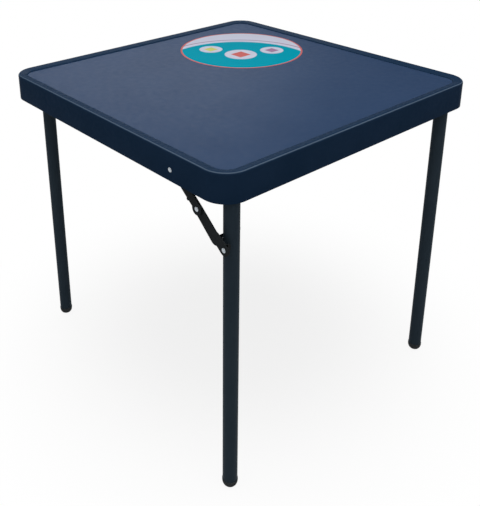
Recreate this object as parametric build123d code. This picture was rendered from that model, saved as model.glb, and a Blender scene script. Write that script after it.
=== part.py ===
from build123d import *
import math
import os

# Folding card table, standing open on its four feet.
# Millimetres, +Z up, origin on the floor under the middle of the top.
# The front leg is the one at (-X, -Y), and the right leg is at (+X, -Y).
# The back frame is the front frame turned half a turn about Z.

# The open table
table_side = 750.0
table_height = 705.0
corner_radius = 50.0

# The pressed steel band round the top, with its rounded lip
apron_depth = 59.5
band_thickness = 1.5
lip_outer_radius = 5.0
lip_slope = 12.0
lip_flat = 13.2
lip_inner_radius = 4.0
panel_recess = 5.5

# The panel and the printed disc stuck to it
panel_thickness = 8.0
panel_edge_gap = 0.5
label_radius = 157.0
label_thickness = 0.2
label_offset_x = 164.0
label_offset_y = 154.0

# The two shallow rails that hold the panel up against the lip
rail_spacing = 260.0
rail_crown = 30.0
rail_flange = 15.0
rail_depth = 7.0
rail_thickness = 1.5
rail_screw_pitch = 250.0
rail_screw_count = 3

# Leg tubes, their plugs and feet
leg_radius = 15.0
leg_wall = 1.2
stay_leg_inset = 37.0
far_leg_inset = 80.0
leg_setback = 20.5
leg_rise = 6.0
foot_height = 14.0
foot_round = 10.0
foot_spigot = 25.0
plug_cap = 3.0
plug_round = 2.5
plug_spigot = 12.0

# Cross tube, and the nylon bushes and straps that it turns in
cross_radius = 10.0
cross_wall = 1.2
hinge_inset = 90.0
hinge_width = 30.0
bush_wall = 2.0
strap_thickness = 2.0
strap_outer_flange = 11.5
strap_inner_flange = 15.0
hinge_screw_pitch = 18.0

# Folding stay: its two links, their rivets and the bracket on the leg
stay_rivet_setback = 144.0
stay_rivet_drop = 36.5
stay_pivot_overhang = 10.7
stay_pivot_drop = 144.0
folded_rivet_gap = 12.0
link_standoff = 5.0
link_thickness = 2.0
link_waist = 6.5
link_back = 14.5
link_corner = 6.0
link_boss_radius = 10.5
link_flange_depth = 1.5
link_flange_thickness = 1.5
stop_ear_radius = 3.2
stop_ear_from_elbow = 25.5
lower_elbow_radius = 12.5
lower_elbow_offset = 1.0
belly_radius = 13.5
belly_offset = 3.9
belly_from_pivot = 26.0
link_eye_radius = 11.5
elbow_washer_thickness = 1.5
washer_radius = 6.0
spacer_radius = 5.5
bracket_thickness = 2.0
bracket_drop = 2.0
bracket_rise = 13.0
bracket_corner = 5.0
bracket_edge = 6.0
bracket_lip_reach = 8.5
bracket_eye_radius = 11.0
bracket_rivet_reach = 17.7
bracket_rivet_rise = 5.3
bracket_rivet_grip = 10.0
bracket_head_height = 2.4
bracket_tail_radius = 3.0

# Rivets and screws
shank_radius = 2.5
head_radius = 4.75
head_height = 1.4
tail_radius = 4.0
tail_height = 1.2
screw_radius = 1.75
screw_length = 7.5
screw_head_radius = 3.2
screw_head_height = 1.8

# Clearances, and the overrun that every cut shares
pin_clearance = 0.05
running_clearance = 0.08
seat_clearance = 0.05
face_clearance = 0.1
link_gap = 0.3
overrun = 5.0

# Levels and places that follow from the sizes above
half_side = table_side / 2
panel_top = table_height - panel_recess
panel_under = panel_top - panel_thickness
apron_bottom = table_height - apron_depth
leg_y = leg_setback - half_side
stay_leg_x = stay_leg_inset - half_side
far_leg_x = half_side - far_leg_inset
upper_rivet_y = stay_rivet_setback - half_side
upper_rivet_z = table_height - stay_rivet_drop
pivot_y = leg_y - stay_pivot_overhang
pivot_z = table_height - stay_pivot_drop

# The hinge axis lies where a quarter turn brings the lower pivot straight under the upper rivet
stay_run = upper_rivet_y - pivot_y
stay_rise = upper_rivet_z - pivot_z
hinge_reach = (stay_rise - folded_rivet_gap + stay_run) / 2
hinge_y = upper_rivet_y - hinge_reach
hinge_z = pivot_z + hinge_reach
leg_top = hinge_z + leg_rise
near_hinge_x = stay_leg_x + hinge_inset
far_hinge_x = far_leg_x - hinge_inset

# The open stay is straight, with its elbow rivet half way
link_length = math.hypot(stay_run, stay_rise) / 2
link_tilt = math.degrees(math.atan2(-stay_rise, -stay_run))

# Planes of the stay, counted inwards from the apron's outer face
upper_link_x = link_standoff - half_side
washer_x = upper_link_x + link_thickness
lower_link_x = washer_x + elbow_washer_thickness + link_gap
bracket_x = lower_link_x + link_thickness + link_gap
bracket_rivet_x = bracket_x + bracket_rivet_reach
bracket_rivet_z = pivot_z + bracket_rivet_rise

INWARD = (1, 0, 0)
OUTWARD = (-1, 0, 0)
UP = (0, 0, 1)
INTO_LEG = (0, -1, 0)


def rod(radius, length, start, direction):
    """Round bar from a point along a direction."""
    bar = Cylinder(radius, length, align=(Align.CENTER, Align.CENTER, Align.MIN))
    return Plane(origin=start, z_dir=direction) * bar


def dome(radius, height, start, direction):
    """Low round head whose flat side sits at a point."""
    ball = (radius**2 + height**2) / (2 * height)
    cap = Pos(0, 0, height - ball) * Sphere(ball)
    cap &= Cylinder(ball, 2 * ball, align=(Align.CENTER, Align.CENTER, Align.MIN))
    return Plane(origin=start, z_dir=direction) * cap


def rivet(start, direction, grip):
    """Rivet with a wide head at the start and a smaller formed tail past its grip."""
    back = tuple(-part for part in direction)
    end = tuple(place + grip * part for place, part in zip(start, direction))
    shank = rod(shank_radius, grip, start, direction)
    head = dome(head_radius, head_height, start, back)
    tail = dome(tail_radius, tail_height, end, direction)
    return shank + head + tail


def rounded_top(side, radius, low, high):
    """Upright block with four round corners, between two levels."""
    return Pos(0, 0, low) * extrude(RectangleRounded(side, side, radius), high - low)


def band_profile():
    """Section of the band: inward across the page, upward from the top of the lip."""
    slope = math.radians(lip_slope)
    fold_step = lip_outer_radius - lip_inner_radius
    fold_x = lip_outer_radius + fold_step * math.sin(slope) + lip_flat * math.cos(slope)
    fold_y = fold_step * math.cos(slope) - lip_outer_radius - lip_flat * math.sin(slope)
    crest = (lip_outer_radius, -lip_outer_radius)
    face, face_rim = lip_face(crest, (fold_x, fold_y), 0)
    back, back_rim = lip_face(crest, (fold_x, fold_y), band_thickness)
    hem = Line(face[0] @ 0, back[0] @ 0)
    return make_face(Curve() + [*face, *back, hem, Line(face_rim, back_rim)])


def lip_face(crest, fold, depth):
    """One face of the band, a depth below its outer face, and the point where it ends."""
    bend = 90 + lip_slope
    fold_radius = lip_inner_radius - depth
    lowest = math.degrees(math.asin((-panel_recess - fold[1]) / fold_radius))
    wall = Line((depth, -apron_depth), (depth, crest[1]))
    crest_round = CenterArc(crest, lip_outer_radius - depth, 180, -bend)
    fold_round = CenterArc(fold, fold_radius, 180 - bend, lowest - (180 - bend))
    flat = Line(crest_round @ 1, fold_round @ 0)
    return [wall, crest_round, flat, fold_round], fold_round @ 1


def edge_frame():
    """The band: four straight sides and four bent corners in one welded ring."""
    bend = half_side - corner_radius
    start = Plane(origin=(-half_side, bend, table_height), x_dir=INWARD, z_dir=(0, -1, 0))
    side = extrude(start * band_profile(), amount=2 * bend)
    turn = Plane(origin=(-half_side, -bend, table_height), x_dir=INWARD, z_dir=(0, -1, 0))
    corner = revolve(turn * band_profile(), Axis((-bend, -bend, 0), UP), 90)
    ring = side + corner
    for quarter in (90, 180, 270):
        ring += Rot(0, 0, quarter) * (side + corner)
    for turn_angle in (0, 180):
        ring -= Rot(0, 0, turn_angle) * stay_rivet_hole(-half_side, band_thickness)
    return ring


def stay_rivet_hole(face_x, depth):
    """Hole for the upper stay rivet through a layer that starts at a plane."""
    start = (face_x - overrun, upper_rivet_y, upper_rivet_z)
    return rod(shank_radius + pin_clearance, depth + 2 * overrun, start, INWARD)


def hinge_screw_places():
    """Places of the four screws of each hinge strap on the front side."""
    outer_y = hinge_y - cross_radius - bush_wall - strap_thickness - strap_outer_flange / 2
    inner_y = hinge_y + cross_radius + bush_wall + strap_thickness + strap_inner_flange / 2
    shift = hinge_screw_pitch / 2
    return [
        (middle + step, y)
        for middle in (near_hinge_x, far_hinge_x)
        for step in (-shift, shift)
        for y in (outer_y, inner_y)
    ]


def rail_screw_places():
    """Places of the screws along both flanges of the front rail."""
    first = -rail_screw_pitch * (rail_screw_count - 1) / 2
    reach = (rail_crown + rail_flange) / 2
    return [
        (first + number * rail_screw_pitch, -rail_spacing / 2 + side * reach)
        for number in range(rail_screw_count)
        for side in (-1, 1)
    ]


def screw(x, y, seat):
    """Pan-head screw driven upwards, with its head below a seat level."""
    head = dome(screw_head_radius, screw_head_height, (x, y, seat), (0, 0, -1))
    return head + rod(screw_radius, screw_length, (x, y, seat), UP)


def top_panel():
    """Flat board inside the band, with a pilot hole over every screw."""
    inset = band_thickness + panel_edge_gap
    board = rounded_top(table_side - 2 * inset, corner_radius - inset, panel_under, panel_top)
    hinge_depth = screw_length - strap_thickness
    rail_hole = screw_length - rail_thickness
    for turn_angle in (0, 180):
        for places, depth in ((hinge_screw_places(), hinge_depth), (rail_screw_places(), rail_hole)):
            for x, y in places:
                start = (x, y, panel_under - overrun)
                hole = rod(screw_radius + pin_clearance, depth + overrun + face_clearance, start, UP)
                board -= Rot(0, 0, turn_angle) * hole
    return board


def top_label():
    """Thin printed disc on the panel, towards its back corner."""
    return rod(label_radius, label_thickness, (label_offset_x, label_offset_y, panel_top), UP)


def rail():
    """Shallow hat-shaped rail under the panel, welded to the band at both ends."""
    inner_side = table_side - 2 * band_thickness
    flange_width = rail_crown + 2 * rail_flange
    crown_z = panel_under - rail_depth
    hollow = rail_crown - 2 * rail_thickness
    crown = Box(inner_side, rail_crown, rail_depth, align=(Align.CENTER, Align.CENTER, Align.MIN))
    core = Box(inner_side, hollow, rail_depth, align=(Align.CENTER, Align.CENTER, Align.MIN))
    flange = Box(inner_side, flange_width, rail_thickness, align=(Align.CENTER, Align.CENTER, Align.MAX))
    body = Pos(0, 0, crown_z) * crown + Pos(0, 0, panel_under) * flange
    body -= Pos(0, 0, crown_z + rail_thickness) * core
    for x, y in rail_screw_places():
        start = (x, y + rail_spacing / 2, panel_under - rail_depth - overrun)
        body -= rod(screw_radius + pin_clearance, rail_depth + 2 * overrun, start, UP)
    return Pos(0, -rail_spacing / 2, 0) * body


def hinge_profile(half_width):
    """Section of a saddle round the cross tube, open towards the panel."""
    height = panel_under - hinge_z
    block = Rectangle(2 * half_width, height, align=(Align.CENTER, Align.MIN))
    return Circle(half_width) + block


def across_hinge(section, middle):
    """Turns a hinge section into a piece of the hinge's width about the cross tube."""
    plane = Plane(origin=(middle - hinge_width / 2, hinge_y, hinge_z), x_dir=(0, 1, 0), z_dir=INWARD)
    return extrude(plane * section, amount=hinge_width)


def hinge_bush(middle):
    """Nylon saddle block with the bore that the cross tube turns in."""
    section = hinge_profile(cross_radius + bush_wall)
    section -= Circle(cross_radius + running_clearance)
    return across_hinge(section, middle)


def hinge_strap(middle):
    """Steel strap round the bush, with a screwed flange on each side."""
    inner = cross_radius + bush_wall + seat_clearance
    outer = inner + strap_thickness
    width = 2 * outer + strap_outer_flange + strap_inner_flange
    shift = (strap_inner_flange - strap_outer_flange) / 2
    level = panel_under - hinge_z - strap_thickness / 2
    section = hinge_profile(outer) + Pos(shift, level) * Rectangle(width, strap_thickness)
    strap = across_hinge(section - hinge_profile(inner), middle)
    for x, y in hinge_screw_places():
        start = (x, y, panel_under - strap_thickness - overrun)
        strap -= rod(screw_radius + pin_clearance, strap_thickness + 2 * overrun, start, UP)
    return strap


def stay_spacer():
    """Collar on the upper rivet that holds the stay off the apron."""
    length = link_standoff - band_thickness - face_clearance
    start = (band_thickness - half_side, upper_rivet_y, upper_rivet_z)
    return rod(spacer_radius, length, start, INWARD) - stay_rivet_hole(-half_side, link_standoff)


def stay_rivet():
    """Upper rivet, through the apron, the collar and the upper link."""
    grip = link_standoff + link_thickness + face_clearance
    return rivet((-half_side, upper_rivet_y, upper_rivet_z), INWARD, grip)


def in_link_plane(section, plane_x, thickness):
    """Stands a section up along the stay: its X runs down the stay, its Y towards the hinge."""
    down = math.radians(link_tilt)
    run = (0, math.cos(down), math.sin(down))
    plane = Plane(origin=(plane_x, upper_rivet_y, upper_rivet_z), x_dir=run, z_dir=OUTWARD)
    return extrude(plane * section, amount=-thickness)


def upper_link():
    """Upper half of the stay, narrow on its open side, with a stop ear, and flanged on the other."""
    length = link_length
    middle = (link_back - link_waist) / 2
    bar = RectangleRounded(length + 2 * link_waist, link_back + link_waist, link_corner)
    section = Pos(length / 2, middle) * bar
    section += Pos(length, 0) * Circle(link_boss_radius)
    section += Pos(length - stop_ear_from_elbow, -link_waist) * Circle(stop_ear_radius)
    for place in (0, length):
        section -= Pos(place, 0) * Circle(shank_radius + pin_clearance)
    edge = Pos(length / 2, link_back - link_flange_thickness / 2)
    flange = edge * Rectangle(length, link_flange_thickness)
    web = in_link_plane(section, upper_link_x, link_thickness)
    return web + in_link_plane(flange, upper_link_x, link_thickness + link_flange_depth)


def lower_link():
    """Lower half of the stay, widening into a belly, with a narrower eye at the leg."""
    length = link_length
    elbow_end = Pos(length, -lower_elbow_offset) * Circle(lower_elbow_radius)
    belly = Pos(2 * length - belly_from_pivot, -belly_offset) * Circle(belly_radius)
    section = make_hull(elbow_end.edges() + belly.edges())
    neck = Rectangle(belly_from_pivot, 2 * link_eye_radius)
    section += Pos(2 * length - belly_from_pivot / 2, 0) * neck
    section += Pos(2 * length, 0) * Circle(link_eye_radius)
    for place in (length, 2 * length):
        section -= Pos(place, 0) * Circle(shank_radius + pin_clearance)
    return in_link_plane(section, lower_link_x, link_thickness)


def elbow_place(plane_x):
    """Middle of the elbow rivet in a plane of the stay."""
    return (plane_x, upper_rivet_y - stay_run / 2, upper_rivet_z - stay_rise / 2)


def elbow_rivet():
    """Outer half of the elbow rivet, which the upper link carries."""
    grip = link_thickness + elbow_washer_thickness
    head = dome(head_radius, head_height, elbow_place(upper_link_x), OUTWARD)
    return head + rod(shank_radius, grip, elbow_place(upper_link_x), INWARD)


def elbow_washer():
    """Washer between the two links at the elbow."""
    washer = rod(washer_radius, elbow_washer_thickness, elbow_place(washer_x), INWARD)
    start = elbow_place(washer_x - overrun)
    return washer - rod(shank_radius + pin_clearance, elbow_washer_thickness + 2 * overrun, start, INWARD)


def elbow_tail():
    """Inner half of the elbow rivet, which the lower link carries."""
    shank = rod(shank_radius, link_thickness, elbow_place(lower_link_x), INWARD)
    return shank + dome(tail_radius, tail_height, elbow_place(lower_link_x + link_thickness), INWARD)


def pivot_rivet():
    """Rivet that pins the lower link to the bracket on the leg."""
    grip = face_clearance + link_thickness + link_gap + bracket_thickness
    return rivet((lower_link_x - face_clearance, pivot_y, pivot_z), INWARD, grip)


def bracket_half_width():
    """Half of the bracket's outside width, a flange each side of the leg tube."""
    return leg_radius + seat_clearance + bracket_thickness


def leg_bracket():
    """Bracket that straddles the leg, with an eye for the stay and one flange longer than the other."""
    reach = bracket_rivet_reach + bracket_edge
    half_width = bracket_half_width()
    height = bracket_rise + bracket_drop
    block = Box(reach, 2 * half_width, height, align=(Align.MIN, Align.CENTER, Align.MIN))
    far_edges = block.edges().filter_by(Axis.Y).sort_by(Axis.X)[-2:]
    block = fillet(far_edges, bracket_corner)
    core_width = 2 * (leg_radius + seat_clearance)
    core = Box(reach, core_width, height, align=(Align.MIN, Align.CENTER, Align.MIN))
    outer_side = Box(reach, half_width, height, align=(Align.MIN, Align.MAX, Align.MIN))
    block -= Pos(bracket_thickness, 0, 0) * core + Pos(bracket_lip_reach, 0, 0) * outer_side
    channel = Pos(bracket_x, leg_y, pivot_z - bracket_drop) * block
    channel += rod(bracket_eye_radius, bracket_thickness, (bracket_x, pivot_y, pivot_z), INWARD)
    pin_start = (bracket_x - overrun, pivot_y, pivot_z)
    channel -= rod(shank_radius + pin_clearance, bracket_thickness + 2 * overrun, pin_start, INWARD)
    return channel - bracket_rivet_hole()


def bracket_rivet_seat():
    """Where the head of the bracket's rivet sits, on the inner side of the leg."""
    return (bracket_rivet_x, leg_y + bracket_half_width(), bracket_rivet_z)


def bracket_rivet_hole():
    """Hole for the bracket's rivet through one flange and the near wall of the leg tube."""
    x, y, z = bracket_rivet_seat()
    return rod(shank_radius + pin_clearance, bracket_rivet_grip + overrun, (x, y + overrun, z), INTO_LEG)


def bracket_rivet():
    """Blind rivet that holds the bracket to the leg, its tail spread inside the tube."""
    x, y, z = bracket_rivet_seat()
    head = dome(head_radius, bracket_head_height, (x, y, z), (0, 1, 0))
    tail = dome(bracket_tail_radius, tail_height, (x, y - bracket_rivet_grip, z), INTO_LEG)
    return head + rod(shank_radius, bracket_rivet_grip, (x, y, z), INTO_LEG) + tail


def leg_tube(x):
    """Leg tube from its foot to just above the hinge axis."""
    length = leg_top - foot_height
    start = (x, leg_y, foot_height)
    return rod(leg_radius, length, start, UP) - rod(leg_radius - leg_wall, length, start, UP)


def foot(x):
    """Rounded plastic foot whose spigot fills the end of the tube."""
    pad = rod(leg_radius, foot_height, (0, 0, 0), UP)
    pad = fillet(pad.edges().sort_by(Axis.Z)[0], foot_round)
    spigot_radius = leg_radius - leg_wall - seat_clearance
    pad += rod(spigot_radius, foot_height + foot_spigot - foot_round, (0, 0, foot_round), UP)
    return Pos(x, leg_y, 0) * pad


def leg_plug(x):
    """Flat plastic plug in the upper end of a leg tube."""
    cap = rod(leg_radius, plug_cap, (x, leg_y, leg_top), UP)
    cap = fillet(cap.edges().sort_by(Axis.Z)[-1], plug_round)
    spigot_radius = leg_radius - leg_wall - seat_clearance
    return cap + rod(spigot_radius, plug_spigot, (x, leg_y, leg_top), (0, 0, -1))


def cross_tube():
    """Tube that joins the two legs and turns in the hinges, notched round each leg."""
    length = far_leg_x - stay_leg_x
    start = (stay_leg_x, hinge_y, hinge_z)
    tube = rod(cross_radius, length, start, INWARD) - rod(cross_radius - cross_wall, length, start, INWARD)
    for x in (stay_leg_x, far_leg_x):
        tube -= rod(leg_radius, table_height, (x, leg_y, 0), UP)
    return tube


def frame_pieces(end, near, far):
    """Everything that belongs to one leg frame and its stay, built at the front end."""
    return {
        f"leg_{near}": leg_tube(stay_leg_x) - bracket_rivet_hole(),
        f"leg_{far}": leg_tube(far_leg_x),
        f"leg_plug_{near}": leg_plug(stay_leg_x),
        f"leg_plug_{far}": leg_plug(far_leg_x),
        f"foot_{near}": foot(stay_leg_x),
        f"foot_{far}": foot(far_leg_x),
        f"cross_tube_{end}": cross_tube(),
        f"hinge_bush_{end}_{near}": hinge_bush(near_hinge_x),
        f"hinge_bush_{end}_{far}": hinge_bush(far_hinge_x),
        f"hinge_strap_{end}_{near}": hinge_strap(near_hinge_x),
        f"hinge_strap_{end}_{far}": hinge_strap(far_hinge_x),
        f"hinge_screws_{end}": group(hinge_screw_places(), panel_under - strap_thickness),
        f"rail_{end}": rail(),
        f"rail_screws_{end}": group(rail_screw_places(), panel_under - rail_thickness),
        f"stay_spacer_{end}": stay_spacer(),
        f"stay_rivet_{end}": stay_rivet(),
        f"upper_link_{end}": upper_link(),
        f"elbow_rivet_{end}": elbow_rivet(),
        f"elbow_washer_{end}": elbow_washer(),
        f"lower_link_{end}": lower_link(),
        f"elbow_tail_{end}": elbow_tail(),
        f"pivot_rivet_{end}": pivot_rivet(),
        f"leg_bracket_{end}": leg_bracket(),
        f"bracket_rivet_{end}": bracket_rivet(),
    }


def group(places, seat):
    """Identical screws at a list of places, kept as separate solids."""
    return Compound(children=[screw(x, y, seat) for x, y in places])


def all_pieces():
    """Every node of the table by name."""
    pieces = {"edge_frame": edge_frame(), "top_panel": top_panel(), "top_label": top_label()}
    pieces.update(frame_pieces("front", "front", "right"))
    for name, shape in frame_pieces("back", "back", "left").items():
        pieces[name] = Rot(0, 0, 180) * shape
    return pieces


os.makedirs("parts", exist_ok=True)
for name, shape in all_pieces().items():
    export_step(shape, f"parts/{name}.step")

print("hinge axis y", round(hinge_y, 3), "z", round(hinge_z, 3))
print("upper rivet y", upper_rivet_y, "z", upper_rivet_z, "lower pivot y", pivot_y, "z", pivot_z)
print("link length", round(link_length, 3), "tilt", round(link_tilt, 3))
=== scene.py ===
# %% [markdown]
# # Dressing a folding card table
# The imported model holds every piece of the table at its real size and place: the steel band, the
# panel, the legs, the folding stays and all their rivets. This lesson leaves the places alone and
# makes the looks. Each visible form is made again as a clean mesh in the same place, or keeps its
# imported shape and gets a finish.

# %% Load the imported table
import math

import bmesh
import bpy
from mathutils import Matrix, Vector


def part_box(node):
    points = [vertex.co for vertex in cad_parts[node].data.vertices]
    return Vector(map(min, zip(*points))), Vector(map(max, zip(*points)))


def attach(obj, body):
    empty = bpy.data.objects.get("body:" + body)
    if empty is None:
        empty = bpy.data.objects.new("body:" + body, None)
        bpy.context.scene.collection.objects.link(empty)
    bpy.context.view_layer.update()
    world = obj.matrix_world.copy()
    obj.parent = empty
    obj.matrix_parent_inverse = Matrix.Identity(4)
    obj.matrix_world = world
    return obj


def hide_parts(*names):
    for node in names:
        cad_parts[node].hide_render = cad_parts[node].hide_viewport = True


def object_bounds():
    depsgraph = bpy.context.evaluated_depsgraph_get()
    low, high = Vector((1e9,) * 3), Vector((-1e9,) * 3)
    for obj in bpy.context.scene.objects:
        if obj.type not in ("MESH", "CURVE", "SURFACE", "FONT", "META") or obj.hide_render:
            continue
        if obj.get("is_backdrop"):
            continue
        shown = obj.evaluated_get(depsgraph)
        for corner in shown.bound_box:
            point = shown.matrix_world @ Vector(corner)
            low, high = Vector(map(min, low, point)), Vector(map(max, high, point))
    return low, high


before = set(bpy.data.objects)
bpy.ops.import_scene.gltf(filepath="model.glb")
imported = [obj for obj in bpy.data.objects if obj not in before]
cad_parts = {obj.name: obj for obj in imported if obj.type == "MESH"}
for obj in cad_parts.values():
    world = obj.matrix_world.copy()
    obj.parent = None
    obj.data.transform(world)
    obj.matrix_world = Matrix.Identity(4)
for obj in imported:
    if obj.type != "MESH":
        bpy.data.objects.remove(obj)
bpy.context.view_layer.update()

# %% [markdown]
# The photograph was taken from standing height, over the front corner of the table. A lens has four
# things to set: where it stands, which way it points, how long it is, and how far the film is
# shifted. The table sits low and right of the lens axis, so the film carries a shift.

# %% Camera
photo_width, photo_height = 480, 506
film_width = 36.0
focal_pixels = 736.4
axis_x_pixel, axis_y_pixel = 197.3, 103.0
camera_place = (-1.1001, -1.1752, 1.2462)
pitch, yaw, roll = math.radians(20.745), math.radians(50.043), math.radians(-0.658)

ahead = Vector((math.cos(pitch) * math.cos(yaw), math.cos(pitch) * math.sin(yaw), -math.sin(pitch)))
level = ahead.cross(Vector((0, 0, 1))).normalized()
upright = level.cross(ahead)
right = math.cos(roll) * level + math.sin(roll) * upright
up = math.cos(roll) * upright - math.sin(roll) * level
lens = bpy.data.cameras.new("photo_camera")
lens.sensor_width = film_width
lens.lens = focal_pixels / photo_height * film_width
lens.shift_x = (photo_width / 2 - axis_x_pixel) / photo_height
lens.shift_y = (axis_y_pixel - photo_height / 2) / photo_height
camera = bpy.data.objects.new("photo_camera", lens)
camera.matrix_world = Matrix.Translation(camera_place) @ Matrix((right, up, -ahead)).transposed().to_4x4()
bpy.context.scene.collection.objects.link(camera)
bpy.context.scene.camera = camera
print("lens, mm:", round(lens.lens, 2), "shift:", round(lens.shift_x, 4), round(lens.shift_y, 4))

# %% [markdown]
# The studio is white all round. A white world would light the table from every side and flatten it,
# so the world is white only where the camera, a reflection or clear glass looks at it, and a weak
# even light otherwise. The Light Path node tells these rays apart. A reflection sees the white sweep
# up to the horizon and a dimmer ceiling over it, as in a real studio.

# %% Studio world
bpy.context.scene.view_settings.view_transform = "Standard"
WHITE = (1.0, 1.0, 1.0, 1.0)
fill_level = 0.34
ceiling_level = 0.45
sweep_top, ceiling_start = 0.0, 0.16


def empty_tree(owner):
    """A node tree with nothing in it yet."""
    owner.use_nodes = True
    owner.node_tree.nodes.clear()
    return owner.node_tree


def step(tree, kind, inputs=(), **settings):
    """Adds one node, sets its properties, and joins or sets its inputs."""
    node = tree.nodes.new(kind)
    for key, value in settings.items():
        setattr(node, key, value)
    for socket, source in dict(inputs).items():
        if isinstance(source, bpy.types.NodeSocket):
            tree.links.new(source, node.inputs[socket])
        else:
            node.inputs[socket].default_value = source
    return node


def made(tree, kind, inputs=(), **settings):
    """Adds one node and gives its first output."""
    return step(tree, kind, inputs, **settings).outputs[0]


def math_step(tree, operation, one, two):
    """A sum of two values, each a socket or a number."""
    return made(tree, "ShaderNodeMath", {0: one, 1: two}, operation=operation)


def range_step(tree, value, low, high, start, end, **settings):
    """Stretches a value between start and end to run from low to high."""
    inputs = {"Value": value, "From Min": start, "From Max": end, "To Min": low, "To Max": high}
    return made(tree, "ShaderNodeMapRange", inputs, **settings)


def seen_directly(tree):
    """One where the camera, a reflection or clear glass sees the surface."""
    path = step(tree, "ShaderNodeLightPath").outputs
    seen = path["Is Camera Ray"]
    for ray in ("Is Glossy Ray", "Is Transmission Ray"):
        seen = math_step(tree, "MAXIMUM", seen, path[ray])
    return seen


def choose(tree, factor, lit, seen):
    """Mixes two shaders by a factor."""
    return made(tree, "ShaderNodeMixShader", {0: factor, 1: lit, 2: seen})


studio = bpy.data.worlds.new("white_studio")
bpy.context.scene.world = studio
tree = empty_tree(studio)
fill = made(tree, "ShaderNodeBackground", {"Color": WHITE, "Strength": fill_level})
direction = step(tree, "ShaderNodeTexCoord").outputs["Generated"]
height = step(tree, "ShaderNodeSeparateXYZ", {0: direction}).outputs["Z"]
dimming = range_step(tree, height, 1.0, ceiling_level, sweep_top, ceiling_start)
is_camera = step(tree, "ShaderNodeLightPath").outputs["Is Camera Ray"]
strength = math_step(tree, "MAXIMUM", dimming, is_camera)
backdrop = made(tree, "ShaderNodeBackground", {"Color": WHITE, "Strength": strength})
step(tree, "ShaderNodeOutputWorld", {"Surface": choose(tree, seen_directly(tree), fill, backdrop)})
print("white studio, fill:", fill_level, "ceiling:", ceiling_level)

# %% [markdown]
# The floor is one big pale sheet. To the camera it is part white paint and part glow: more paint
# under the table, where its soft shadow falls, and all glow further out, so that it runs into the
# white backdrop with no horizon. It is marked as stage, because it is no part of the table.

# %% Floor
floor_reach = 12.0
floor_grey = 0.62
shadow_reach, glow_reach = 0.15, 0.75
glow_in_shadow, glow_outside = 0.82, 1.0
floor_mesh = bpy.data.meshes.new("studio_floor")
corners = [(x * floor_reach, y * floor_reach, 0) for x, y in ((-1, -1), (1, -1), (1, 1), (-1, 1))]
floor_mesh.from_pydata(corners, [], [(0, 1, 2, 3)])
floor = bpy.data.objects.new("studio_floor", floor_mesh)
bpy.context.scene.collection.objects.link(floor)
floor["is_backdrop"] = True

pale_floor = bpy.data.materials.new("pale_floor")
tree = empty_tree(pale_floor)
paint = made(tree, "ShaderNodeBsdfDiffuse", {"Color": (floor_grey, floor_grey, floor_grey, 1)})
floor_place = step(tree, "ShaderNodeTexCoord").outputs["Object"]
from_middle = step(tree, "ShaderNodeVectorMath", {0: floor_place}, operation="LENGTH").outputs["Value"]
glow_share = range_step(tree, from_middle, glow_in_shadow, glow_outside, shadow_reach, glow_reach,
                        interpolation_type="SMOOTHSTEP")
white_paint = made(tree, "ShaderNodeBsdfDiffuse", {"Color": WHITE})
glow = made(tree, "ShaderNodeEmission", {"Color": WHITE})
shown = choose(tree, glow_share, white_paint, glow)
step(tree, "ShaderNodeOutputMaterial", {"Surface": choose(tree, seen_directly(tree), paint, shown)})
floor_mesh.materials.append(pale_floor)
print("floor from the middle to", floor_reach, "m")

# %% [markdown]
# One large softbox overhead lights the table, so that sides get about half the light of the top.
# Two more lamps are there for their reflections alone: a tall one at the right draws a line along
# the rounded lip, and a wide one high behind the back corner gives the panel its haze. Turning off
# their diffuse light keeps the colours at their plain level. Neither is bright, so that no side of
# the table is washed out.

# %% Softboxes
table_middle = Vector((0, 0, 0.6))


def softbox(name, place, width, height, power, reflection_only=True):
    """A rectangular lamp that faces the table, unseen by the camera."""
    data = bpy.data.lights.new(name, "AREA")
    data.shape = "RECTANGLE"
    data.size, data.size_y, data.energy = width, height, power
    lamp = bpy.data.objects.new(name, data)
    lamp.location = place
    lamp.rotation_euler = (table_middle - Vector(place)).to_track_quat("-Z", "Y").to_euler()
    lamp.visible_camera = False
    lamp.visible_diffuse = not reflection_only
    bpy.context.scene.collection.objects.link(lamp)
    print(name, "power:", power, "W")


softbox("overhead_softbox", (-0.2, -0.2, 2.8), 2.4, 2.4, 42, reflection_only=False)
softbox("right_softbox", (1.6, -1.4, 1.75), 0.6, 1.6, 36)
softbox("back_softbox", (1.0, 1.9, 1.95), 1.9, 1.1, 48)

# %% [markdown]
# Every finish below starts the same way: one Principled shader and the object's own coordinates,
# which are metres here. Noise of a real grain size then varies the colour, the roughness and the
# relief, because no painted or moulded surface is the same all over.

# %% Helpers for the finishes
mm = 0.001


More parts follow.
